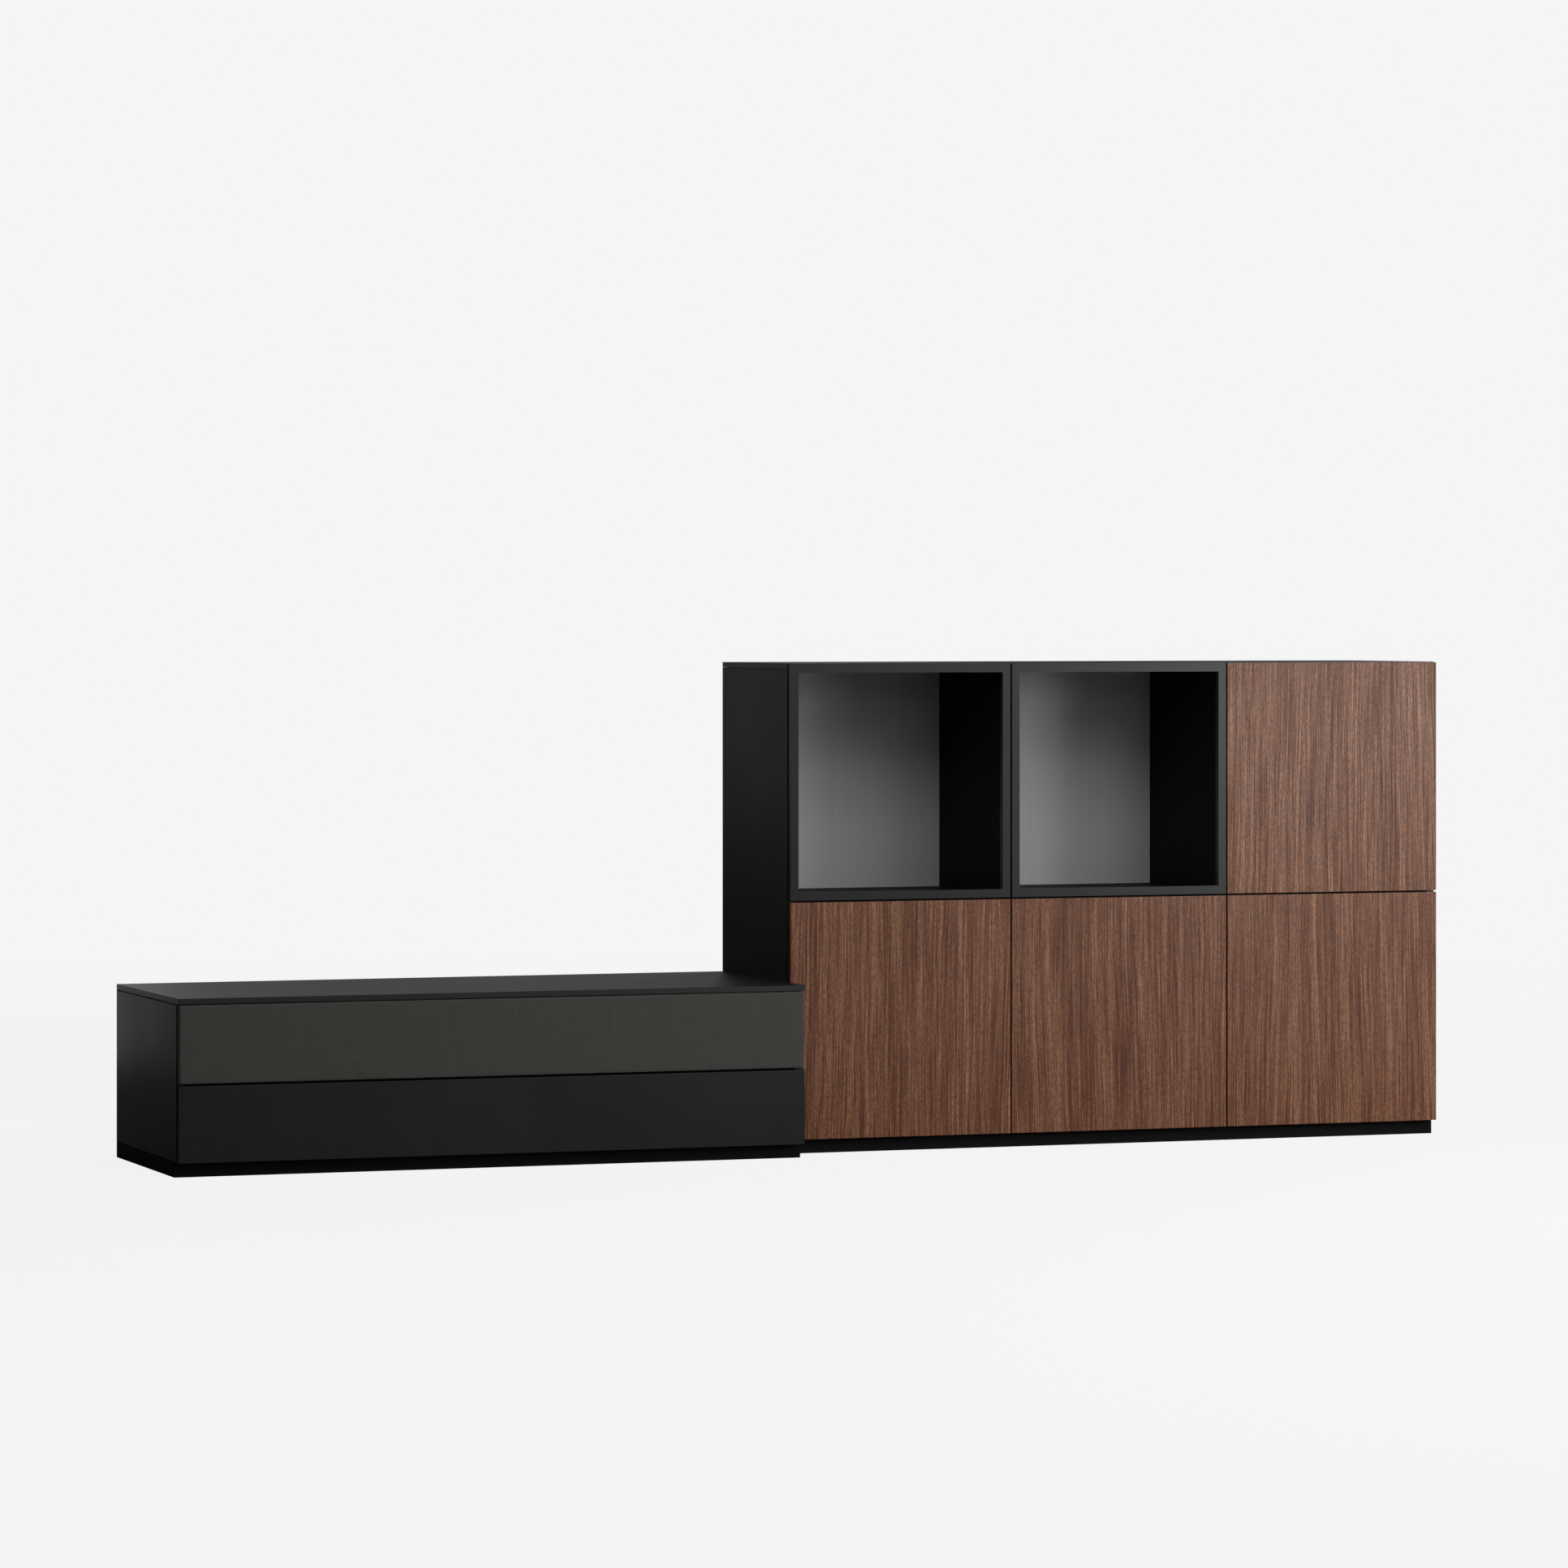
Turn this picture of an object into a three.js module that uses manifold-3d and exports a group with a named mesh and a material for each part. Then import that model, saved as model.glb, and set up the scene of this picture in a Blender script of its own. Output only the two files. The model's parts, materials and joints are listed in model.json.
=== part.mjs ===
// Cube storage unit: a tall cabinet of square cells beside a low bench with two wide drawers.
// Millimetres. +X runs along the front to the right, +Y to the back, +Z up.
// The origin is on the floor, at the middle of the whole unit's outline.
import * as THREE from "three";
import { mergeVertices } from "three/addons/utils/BufferGeometryUtils.js";
import Module from "manifold-3d";

const wasm = await Module();
wasm.setup();

// Boards and gaps
const CELL = 450; // pitch of the square cells
const BOARD = 16;
const TOP_EDGE = 10; // visible edge of both tops
const TOP_THICKNESS = 18; // of both tops between the sides
const FRONT = 14; // thickness of doors, frames and drawer fronts
const BUMPER = 1; // air between the fronts and the carcass
const REVEAL = 3.5; // gap between neighbouring fronts
const BACK_PANEL = 8;
const BACK_INSET = 27; // from the rear edge to the back panel's face
const FIT = 0.3; // clearance between pieces that touch
// Shadow line where a side meets the top and the plinth; it stops short of the back edge
const GROOVE = { depth: 3, height: 2, stop: 5 };

// Cabinets
const PLINTH = 27.5;
const TALL_DEPTH = 386;
const TALL_PLINTH_RECESS = 25;
const BENCH_WIDTH = 1206;
const BENCH_DEPTH = 473.5;
const BENCH_HEIGHT = 325.5;
const BENCH_PLINTH_RECESS = 30;

// Heights of the fronts
const ROW_LINE = PLINTH + CELL;
const TALL_HEIGHT = ROW_LINE + CELL;
const LOWER_ROW = [PLINTH + 0.8, ROW_LINE - 1.9];
const UPPER_ROW = [ROW_LINE + 1.9, TALL_HEIGHT - 1.2];
const LOWER_DRAWER = [PLINTH + 0.3, 167.1];
const UPPER_DRAWER = [170.7, 312.8];

// Open frames
const FRAME_SIDE_RAIL = 15.65;
const FRAME_BOTTOM_RAIL = 15.8;
const FRAME_TOP_RAIL = 16.6;

// Cup hinges, measured from the door's hinge edge and front face
const HINGE_INSET = 70; // from the door's top and bottom edges
const CUP = { centre: 22.5, radius: 17.4, depth: 11.2, wall: 1.5, segments: 28 };
const CUP_FLANGE = { thickness: 0.7, rim: 1.6, wing: 24, wingRadius: 8, wingInset: 9.5 };
const CUP_BORE = { radius: 17.7, depth: 11.6 };
const ARM = { height: 16, thickness: 8, crank: 5, front: 15.6, bend: 34, back: 78 };
const ARM_PLATE = { thickness: 3, back: 75, wingFront: 45, wingBack: 59, wing: 24 };

// Push latches
const LATCH = { width: 14, height: 18, front: 17.5, back: 68 };
const LATCH_EAR = { reach: 32, thickness: 3, front: 29.5, back: 47.5 };
const PLUNGER = { radius: 4, length: 28, segments: 20 };
const LATCH_BORE = { radius: 4.3, depth: 33 };

// Drawers and their three-part runners
const DRAWER_BOX_DEPTH = 400;
const DRAWER_WALL = 12;
const DRAWER_FLOOR = 10;
const LOWER_BOX = [52, 150];
const UPPER_BOX = [186, 290];
const FABRIC = 1.2;
const RUNNER = { length: 400, front: 17, width: 12.7, sheet: 1.2 };

const OUTLINE_WIDTH = BENCH_WIDTH + 3 * CELL;
const CARCASS_FRONT = FRONT + BUMPER;

const FINISHES = {
  blackLacquer: { color: 0x1c1c1d, roughness: 0.5, metalness: 0 },
  frontLacquer: { color: 0x2b2b2c, roughness: 0.42, metalness: 0 },
  greyLaminate: { color: 0x6f6d70, roughness: 0.6, metalness: 0 },
  walnut: { color: 0x6e5141, roughness: 0.5, metalness: 0 },
  fabric: { color: 0x3a3936, roughness: 0.95, metalness: 0 },
  drawerBox: { color: 0x55534f, roughness: 0.6, metalness: 0 },
  steel: { color: 0xb9bbbd, roughness: 0.3, metalness: 1 },
  plastic: { color: 0x8a8c8e, roughness: 0.5, metalness: 0 },
};

function named(name, geometry, finish) {
  const mesh = new THREE.Mesh(geometry, new THREE.MeshStandardMaterial(FINISHES[finish]));
  mesh.name = name;
  return mesh;
}

// A rectangular board between two corners, each [x, y, z].
function board(name, finish, low, high) {
  const mesh = named(name, boxBetween([0, 0, 0], sizeOf(low, high)), finish);
  mesh.position.set(...low);
  return mesh;
}

function sizeOf(low, high) {
  return high.map((value, i) => value - low[i]);
}

function boxBetween(low, high) {
  const size = sizeOf(low, high);
  const middle = low.map((value, i) => value + size[i] / 2);
  return new THREE.BoxGeometry(...size).translate(...middle);
}

// A cylinder along Y, from y0 to y1.
function cylinderAlongY(x, z, y0, y1, radius, segments) {
  const geometry = new THREE.CylinderGeometry(radius, radius, y1 - y0, segments);
  return geometry.translate(x, (y0 + y1) / 2, z);
}

function solidOf(geometry) {
  const bare = geometry.clone();
  bare.deleteAttribute("normal");
  bare.deleteAttribute("uv");
  const merged = mergeVertices(bare, 1e-4);
  return new wasm.Manifold(
    new wasm.Mesh({
      numProp: 3,
      vertProperties: new Float32Array(merged.attributes.position.array),
      triVerts: new Uint32Array(merged.index.array),
    }),
  );
}

function geometryOf(solid) {
  const mesh = solid.getMesh();
  const geometry = new THREE.BufferGeometry();
  geometry.setAttribute("position", new THREE.BufferAttribute(mesh.vertProperties, 3));
  geometry.setIndex(new THREE.BufferAttribute(mesh.triVerts, 1));
  geometry.computeVertexNormals();
  return geometry;
}

// The first geometry with the others of `added` joined to it and those of `removed` cut away.
function combined(added, removed = []) {
  const whole = added.map(solidOf).reduce((a, b) => a.add(b));
  return geometryOf(removed.map(solidOf).reduce((a, b) => a.subtract(b), whole));
}

// A flat ring: the outline from (0, 0) to (width, length) with a rectangular hole, `height` thick.
function ringGeometry(width, length, hole, height) {
  const outline = new THREE.Shape();
  outline.moveTo(0, 0).lineTo(width, 0).lineTo(width, length).lineTo(0, length).closePath();
  const inner = new THREE.Path();
  inner.moveTo(hole[0], hole[1]).lineTo(hole[0], hole[3]).lineTo(hole[2], hole[3]);
  inner.lineTo(hole[2], hole[1]).closePath();
  outline.holes.push(inner);
  return new THREE.ExtrudeGeometry(outline, { depth: height, bevelEnabled: false });
}

// A closed outline of [x, z] points, extruded along +Y.
function sectionAlongY(points, length) {
  const outline = new THREE.Shape(points.map(([x, z]) => new THREE.Vector2(x, -z)));
  const geometry = new THREE.ExtrudeGeometry(outline, { depth: length, bevelEnabled: false });
  return geometry.rotateX(-Math.PI / 2);
}

// ---- Parts that both cabinets share ----

function plinth(name, width, depth, recess) {
  const length = depth - recess;
  const hole = [BOARD, BOARD, width - BOARD, length - BOARD];
  const mesh = named(name, ringGeometry(width, length, hole, PLINTH - FIT), "blackLacquer");
  mesh.position.y = recess;
  return mesh;
}

// A top that rests on the sides: thick between them and rebated over them, and over the fronts
// where `frontEdge` is ahead of the carcass.
function rebatedTop(name, width, frontEdge, depth, height) {
  const under = height - TOP_THICKNESS;
  const inner = BOARD + FIT;
  const plate = boxBetween([0, frontEdge, height - TOP_EDGE], [width, depth, height]);
  const core = boxBetween(
    [inner, CARCASS_FRONT, under],
    [width - inner, depth, height - TOP_EDGE / 2],
  );
  return named(name, combined([plate, core]), "blackLacquer");
}

function sides(prefix, width, depth, height) {
  const low = PLINTH;
  const high = height - TOP_EDGE - FIT;
  return [
    ["left", 0, 0],
    ["right", width - BOARD, width - GROOVE.depth],
  ].map(([side, x, grooveX]) => {
    const panel = boxBetween([x, CARCASS_FRONT, low], [x + BOARD, depth, high]);
    const grooves = [low, high - GROOVE.height].map((z) =>
      boxBetween(
        [grooveX, CARCASS_FRONT, z],
        [grooveX + GROOVE.depth, depth - GROOVE.stop, z + GROOVE.height],
      ),
    );
    return named(`${prefix}_${side}_side`, combined([panel], grooves), "blackLacquer");
  });
}

function bottomBoard(name, width, depth) {
  const inner = BOARD + FIT;
  return board(
    name,
    "blackLacquer",
    [inner, CARCASS_FRONT, PLINTH],
    [width - inner, depth, PLINTH + BOARD],
  );
}

function backPanel(name, width, depth, height) {
  const inner = BOARD + FIT;
  const face = depth - BACK_INSET;
  return board(
    name,
    "greyLaminate",
    [inner, face, PLINTH + BOARD + FIT],
    [width - inner, face + BACK_PANEL, height - TOP_THICKNESS - FIT],
  );
}

// ---- Tall cabinet ----
// Its group's origin is the left end of the doors' front plane, on the floor.

const TALL_WIDTH = 3 * CELL;
const CELL_BACK = TALL_DEPTH - BACK_INSET - FIT;

function partition(side, column) {
  const x = column * CELL;
  return board(
    `tall_partition_${side}`,
    "blackLacquer",
    [x - BOARD / 2, CARCASS_FRONT, PLINTH + BOARD + FIT],
    [x + BOARD / 2, CELL_BACK, TALL_HEIGHT - TOP_THICKNESS - FIT],
  );
}

// The inner faces of a column's left and right walls.
function columnWalls(column) {
  const left = column === 0 ? BOARD : column * CELL + BOARD / 2;
  const right = column === 2 ? TALL_WIDTH - BOARD : (column + 1) * CELL - BOARD / 2;
  return [left, right];
}

function shelf(name, column) {
  const [left, right] = columnWalls(column);
  return board(
    `tall_shelf_${name}`,
    "blackLacquer",
    [left + FIT, CARCASS_FRONT, ROW_LINE - BOARD / 2],
    [right - FIT, CELL_BACK, ROW_LINE + BOARD / 2],
  );
}

function openFrame(name, column) {
  const [low, high] = UPPER_ROW;
  const width = CELL - REVEAL;
  const height = high - low;
  const hole = [
    FRAME_SIDE_RAIL,
    FRAME_BOTTOM_RAIL,
    width - FRAME_SIDE_RAIL,
    height - FRAME_TOP_RAIL,
  ];
  const mesh = named(`open_frame_${name}`, ringGeometry(width, height, hole, FRONT), "frontLacquer");
  mesh.rotation.x = Math.PI / 2;
  mesh.position.set(column * CELL + REVEAL / 2, FRONT, low);
  return mesh;
}

// A door with its hinges and latch. The door's group stands at the hinge edge's lower front
// corner, so that x runs back along the door as negative numbers.
function doorSet(name, column, row) {
  const [low, high] = row;
  const height = high - low;
  const edge = (column + 1) * CELL - REVEAL / 2;
  const [leftWall, rightWall] = columnWalls(column);
  const group = new THREE.Group();
  group.position.set(edge, 0, low);
  const hinges = [
    ["bottom", HINGE_INSET],
    ["top", height - HINGE_INSET],
  ];
  group.add(door(name, height, hinges));
  for (const [place, z] of hinges) {
    group.add(hingeCup(`hinge_cup_${name}_${place}`, z));
    group.add(hingeArm(`hinge_arm_${name}_${place}`, z, rightWall - edge - FIT));
  }
  group.add(latchHousing(name, leftWall - edge + FIT, height / 2));
  group.add(latchPlunger(name, leftWall - edge + FIT, height / 2));
  return group;
}

function door(name, height, hinges) {
  const panel = boxBetween([REVEAL - CELL, 0, 0], [0, FRONT, height]);
  const bores = hinges.map(([, z]) =>
    cylinderAlongY(
      -CUP.centre,
      z,
      FRONT - CUP_BORE.depth,
      FRONT + 1,
      CUP_BORE.radius,
      CUP.segments,
    ),
  );
  return named(`door_${name}`, combined([panel], bores), "walnut");
}

// A round steel cup sunk in the door, with a flange that carries two screws.
function hingeCup(name, z) {
  const { radius, depth, wall, segments } = CUP;
  const seat = FRONT + FIT / 2;
  const flange = CUP_FLANGE.thickness;
  const bottom = FRONT - depth;
  const profile = [
    [0, bottom],
    [radius, bottom],
    [radius, seat + flange],
    [radius - wall, seat + flange],
    [radius - wall, bottom + wall],
    [0, bottom + wall],
  ].map(([r, y]) => new THREE.Vector2(r, y));
  const cup = new THREE.LatheGeometry(profile, segments).translate(-CUP.centre, 0, 0);
  const rimRadius = radius + CUP_FLANGE.rim;
  const rim = cylinderAlongY(-CUP.centre, 0, seat, seat + flange, rimRadius, segments);
  const wings = wingPlate(seat);
  const hollow = cylinderAlongY(
    -CUP.centre,
    0,
    bottom + wall,
    seat + flange + 1,
    radius - wall,
    segments,
  );
  const mesh = named(name, combined([cup, rim, wings], [hollow]), "steel");
  mesh.position.z = z;
  return mesh;
}

// The stadium-shaped wings of a cup's flange.
function wingPlate(seat) {
  const { thickness, wing, wingRadius, wingInset } = CUP_FLANGE;
  const segments = 16;
  const x = -CUP.centre - wingInset;
  const ends = [-wing, wing].map((z) =>
    cylinderAlongY(x, z, seat, seat + thickness, wingRadius, segments),
  );
  const bar = boxBetween(
    [x - wingRadius, seat, -wing],
    [x + wingRadius, seat + thickness, wing],
  );
  return combined([bar, ...ends]);
}

// The arm that clips to a cross-shaped plate on the wall and reaches towards the cup.
function hingeArm(name, z, wall) {
  const plateFace = wall - ARM_PLATE.thickness;
  const inner = plateFace - ARM.thickness;
  const outline = [
    [plateFace + 1, ARM.bend],
    [plateFace + 1, ARM.back],
    [inner, ARM.back],
    [inner, ARM.bend],
    [inner - ARM.crank, ARM.bend - ARM.crank],
    [inner - ARM.crank, ARM.front],
    [plateFace - ARM.crank + 1, ARM.front],
    [plateFace - ARM.crank + 1, ARM.bend - ARM.crank],
  ];
  const shape = new THREE.Shape(outline.map(([x, y]) => new THREE.Vector2(x, y)));
  const arm = new THREE.ExtrudeGeometry(shape, { depth: ARM.height, bevelEnabled: false });
  arm.translate(0, 0, -ARM.height / 2);
  const plate = boxBetween(
    [plateFace, ARM.bend, -ARM.height / 2 - 1],
    [wall, ARM_PLATE.back, ARM.height / 2 + 1],
  );
  const wings = boxBetween(
    [plateFace, ARM_PLATE.wingFront, -ARM_PLATE.wing],
    [wall, ARM_PLATE.wingBack, ARM_PLATE.wing],
  );
  const slot = boxBetween(
    [inner - ARM.crank - 1, ARM.front - 1, -ARM.height / 4],
    [plateFace - ARM.crank - 1, ARM.bend - ARM.crank, ARM.height / 4],
  );
  const mesh = named(name, combined([arm, plate, wings], [slot]), "steel");
  mesh.position.z = z;
  return mesh;
}

function latchHousing(name, wall, z) {
  const { width, height, front, back } = LATCH;
  const body = boxBetween([wall, front, -height / 2], [wall + width, back, height / 2]);
  const ears = boxBetween(
    [wall, LATCH_EAR.front, -LATCH_EAR.reach],
    [wall + LATCH_EAR.thickness, LATCH_EAR.back, LATCH_EAR.reach],
  );
  const bore = cylinderAlongY(
    wall + width / 2,
    0,
    front - 1,
    front + LATCH_BORE.depth,
    LATCH_BORE.radius,
    PLUNGER.segments,
  );
  const mesh = named(`latch_housing_${name}`, combined([body, ears], [bore]), "plastic");
  mesh.position.z = z;
  return mesh;
}

function latchPlunger(name, wall, z) {
  const { radius, length, segments } = PLUNGER;
  const chamfer = 1;
  const profile = [
    [0, 0],
    [radius - chamfer, 0],
    [radius, chamfer],
    [radius, length],
    [0, length],
  ].map(([r, y]) => new THREE.Vector2(r, y));
  const mesh = named(
    `latch_plunger_${name}`,
    new THREE.LatheGeometry(profile, segments),
    "plastic",
  );
  mesh.position.set(wall + LATCH.width / 2, FRONT + FIT, z);
  return mesh;
}

function tallCabinet() {
  const group = new THREE.Group();
  group.add(
    rebatedTop("tall_top", TALL_WIDTH, CARCASS_FRONT, TALL_DEPTH, TALL_HEIGHT),
    ...sides("tall", TALL_WIDTH, TALL_DEPTH, TALL_HEIGHT),
    bottomBoard("tall_bottom", TALL_WIDTH, TALL_DEPTH),
    backPanel("tall_back", TALL_WIDTH, TALL_DEPTH, TALL_HEIGHT),
    plinth("tall_plinth", TALL_WIDTH, TALL_DEPTH, TALL_PLINTH_RECESS),
    partition("left", 1),
    partition("right", 2),
    openFrame("left", 0),
    openFrame("middle", 1),
    doorSet("upper_right", 2, UPPER_ROW),
  );
  ["left", "middle", "right"].forEach((name, column) => {
    group.add(shelf(name, column), doorSet(`lower_${name}`, column, LOWER_ROW));
  });
  group.position.set(OUTLINE_WIDTH / 2 - TALL_WIDTH, BENCH_DEPTH / 2 - TALL_DEPTH, 0);
  return group;
}

// ---- Low bench ----
// Its group's origin is the left end of the drawers' front plane, on the floor.

const BENCH_RIGHT = BENCH_WIDTH - FIT;

function frontPanel(name, finish, row, margin, face) {
  const [low, high] = row;
  const side = REVEAL / 2 + margin;
  return board(
    name,
    finish,
    [side, face, low + margin],
    [BENCH_RIGHT - side, FRONT, high - margin],
  );
}

// The cloth over the upper drawer's front: its face and its four turned edges.
function fabricWrap(row) {
  const [low, high] = row;
  const side = REVEAL / 2;
  const outer = boxBetween([side, 0, low], [BENCH_RIGHT - side, FRONT, high]);
  const inner = boxBetween(
    [side + FABRIC, FABRIC, low + FABRIC],
    [BENCH_RIGHT - side - FABRIC, FRONT + 1, high - FABRIC],
  );
  return named("upper_drawer_fabric", combined([outer], [inner]), "fabric");
}

function drawerBox(level, row) {
  const [low, high] = row;
  const side = BOARD + RUNNER.width + 2 * FIT;
  const front = FRONT + FIT;
  const back = front + DRAWER_BOX_DEPTH;
  const outer = boxBetween([side, front, low], [BENCH_RIGHT - side, back, high]);
  const inner = boxBetween(
    [side + DRAWER_WALL, front + DRAWER_WALL, low + DRAWER_FLOOR],
    [BENCH_RIGHT - side - DRAWER_WALL, back - DRAWER_WALL, high + 1],
  );
  return named(`${level}_drawer_box`, combined([outer], [inner]), "drawerBox");
}

// The channel screwed to the cabinet's side. Its section opens towards the drawer.
function cabinetRunnerSection() {
  const { sheet } = RUNNER;
  const half = 22.5;
  const lip = 9;
  return [
    [0, -half],
    [lip, -half],
    [lip, -half + sheet],
    [sheet, -half + sheet],
    [sheet, half - sheet],
    [lip, half - sheet],
    [lip, half],
    [0, half],
  ];
}

// The member between the two channels: a web with a flange above and below.
function middleRunnerSection() {
  const { sheet } = RUNNER;
  const half = 19.4;
  const flangeStart = 2.6;
  const web = 5;
  const flangeEnd = 9.6;
  return [
    [flangeStart, -half],
    [flangeEnd, -half],
    [flangeEnd, -half + sheet],
    [web + sheet, -half + sheet],
    [web + sheet, half - sheet],
    [flangeEnd, half - sheet],
    [flangeEnd, half],
    [flangeStart, half],
    [flangeStart, half - sheet],
    [web, half - sheet],
    [web, -half + sheet],
    [flangeStart, -half + sheet],
  ];
}

// The same section on both sides of the cabinet, facing inwards.
function runnerPair(prefix, section, centre) {
  const left = BOARD + FIT;
  return [
    ["left", left, 1],
    ["right", BENCH_RIGHT - left, -1],
  ].map(([side, x, direction]) => {
    const points = section.map(([u, v]) => [direction * u, v]);
    const turned = direction < 0 ? points.reverse() : points;
    const mesh = named(`${prefix}_${side}`, sectionAlongY(turned, RUNNER.length), "steel");
    mesh.position.set(x, RUNNER.front, centre);
    return mesh;
  });
}

function drawerRunners(level, row) {
  const centre = (row[0] + row[1]) / 2;
  return [
    ...runnerPair(`${level}_cabinet_runner`, cabinetRunnerSection(), centre),
    ...runnerPair(`${level}_middle_runner`, middleRunnerSection(), centre),
  ];
}

function bench() {
  const group = new THREE.Group();
  group.add(
    rebatedTop("bench_top", BENCH_RIGHT, 0, BENCH_DEPTH, BENCH_HEIGHT),
    ...sides("bench", BENCH_RIGHT, BENCH_DEPTH, BENCH_HEIGHT),
    bottomBoard("bench_bottom", BENCH_RIGHT, BENCH_DEPTH),
    backPanel("bench_back", BENCH_RIGHT, BENCH_DEPTH, BENCH_HEIGHT),
    plinth("bench_plinth", BENCH_RIGHT, BENCH_DEPTH, BENCH_PLINTH_RECESS),
    frontPanel("lower_drawer_front", "frontLacquer", LOWER_DRAWER, 0, 0),
    frontPanel("upper_drawer_front", "drawerBox", UPPER_DRAWER, FABRIC + FIT, FABRIC + FIT),
    fabricWrap(UPPER_DRAWER),
    drawerBox("lower", LOWER_BOX),
    drawerBox("upper", UPPER_BOX),
    ...drawerRunners("lower", LOWER_BOX),
    ...drawerRunners("upper", UPPER_BOX),
  );
  group.position.set(-OUTLINE_WIDTH / 2, -BENCH_DEPTH / 2, 0);
  return group;
}

const group = new THREE.Group();
group.add(tallCabinet(), bench());

export default group;
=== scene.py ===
"""Looks of the cube storage unit: a tall cabinet of square cells beside a low bench.

Metres, in the row frame: +X along the front to the right, +Y to the back, +Z up.
"""

import json
import math

import bmesh
import bpy
from mathutils import Matrix, Vector, noise


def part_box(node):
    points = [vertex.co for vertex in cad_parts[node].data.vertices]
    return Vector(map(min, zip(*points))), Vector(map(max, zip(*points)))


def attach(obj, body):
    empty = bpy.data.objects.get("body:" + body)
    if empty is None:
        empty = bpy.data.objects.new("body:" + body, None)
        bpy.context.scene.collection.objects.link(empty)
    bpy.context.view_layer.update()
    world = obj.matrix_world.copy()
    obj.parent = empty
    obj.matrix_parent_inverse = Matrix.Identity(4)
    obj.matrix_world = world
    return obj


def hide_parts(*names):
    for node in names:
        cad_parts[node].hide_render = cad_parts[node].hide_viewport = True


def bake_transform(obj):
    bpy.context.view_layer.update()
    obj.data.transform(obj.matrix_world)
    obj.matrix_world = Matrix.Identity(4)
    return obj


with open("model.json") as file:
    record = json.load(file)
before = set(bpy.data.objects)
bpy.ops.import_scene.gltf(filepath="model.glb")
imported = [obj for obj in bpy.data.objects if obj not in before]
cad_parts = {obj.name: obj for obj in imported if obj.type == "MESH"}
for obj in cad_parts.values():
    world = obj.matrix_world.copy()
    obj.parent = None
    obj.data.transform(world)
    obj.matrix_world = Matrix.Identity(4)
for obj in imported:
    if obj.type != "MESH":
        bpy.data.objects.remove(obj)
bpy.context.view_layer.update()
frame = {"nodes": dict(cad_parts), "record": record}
RECORD = frame["record"]
NODES = frame["nodes"]
DOORS = ("lower_left", "lower_middle", "lower_right", "upper_right")
MM = 0.001

# Camera, measured from the tall cabinet's left side plane, its doors' front plane and the floor
CAMERA_OFFSET = Vector((-3.8788, -10.7372, 1.0183))
CAMERA_YAW = math.radians(-19.806)
CAMERA_LENS = 138.9
CAMERA_SENSOR = 36.0
CAMERA_SHIFT_Y = -0.10756

# Backdrop and floor
BACKDROP = 0.913
WORLD = 0.01
FLOOR_HALF = 40.0
FLOOR_GLOW = 0.87  # what the floor shows near the object before any light falls on it
FLOOR_TONE = 0.10  # how much of the light on it shows, which is what carries the shadows
FLOOR_BOUNCE = 0.36  # how much of the light on it reaches the object
FLOOR_FADE = (2.4, 7.0)  # metres from the middle, where the floor turns into backdrop

# Softboxes: name, place, target, width, height, power
LIGHTS = (
    ("low_front", (0.3, -5.71, 2.3), (0.3, 0, 0.45), 1.8, 1.8, 14),
    ("left_front", (-0.97, -4.75, 3.89), (0.3, 0, 0.45), 1.8, 1.8, 44),
    ("right_front", (1.15, -4.84, 3.89), (0.3, 0, 0.45), 1.8, 1.8, 19),
    ("right_near", (2.3, -2.35, 0.98), (0.69, 0, 0.5), 0.9, 0.9, 20),
    ("right_far", (2.75, -4.15, 0.98), (0.69, 0, 0.5), 1.1, 1.1, 16),
    ("right_low", (1.5, -4.4, 1.25), (0.4, 0, 0.6), 1.2, 0.6, 3.0),
    ("right_high", (1.3, -3.0, 2.0), (0.4, 0, 0.6), 0.8, 0.6, 6.8),
    ("front_low", (0.7, -4.4, 0.3), (0.4, 0, 0.6), 1.6, 0.3, 2),
    ("high", (0.8, -2.95, 5.65), (0.3, 0, 0.45), 1.8, 1.8, 4),
    ("back", (1.0, 6.0, 3.0), (0, 0, 0.5), 3.0, 2.0, 12),
    ("back_right", (4.5, 4.0, 3.2), (0, 0.2, 0.5), 2.2, 2.2, 60),
    ("left_end", (-0.95, 2.1, 0.95), (-0.3, 0.1, 0.6), 0.5, 0.8, 0.7),
    ("bench_end", (-1.36, 1.1, 0.26), (-1.28, 0.2, 0.17), 0.12, 0.3, 0.21),
)


# ---------------------------------------------------------------- shader helpers


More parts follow.
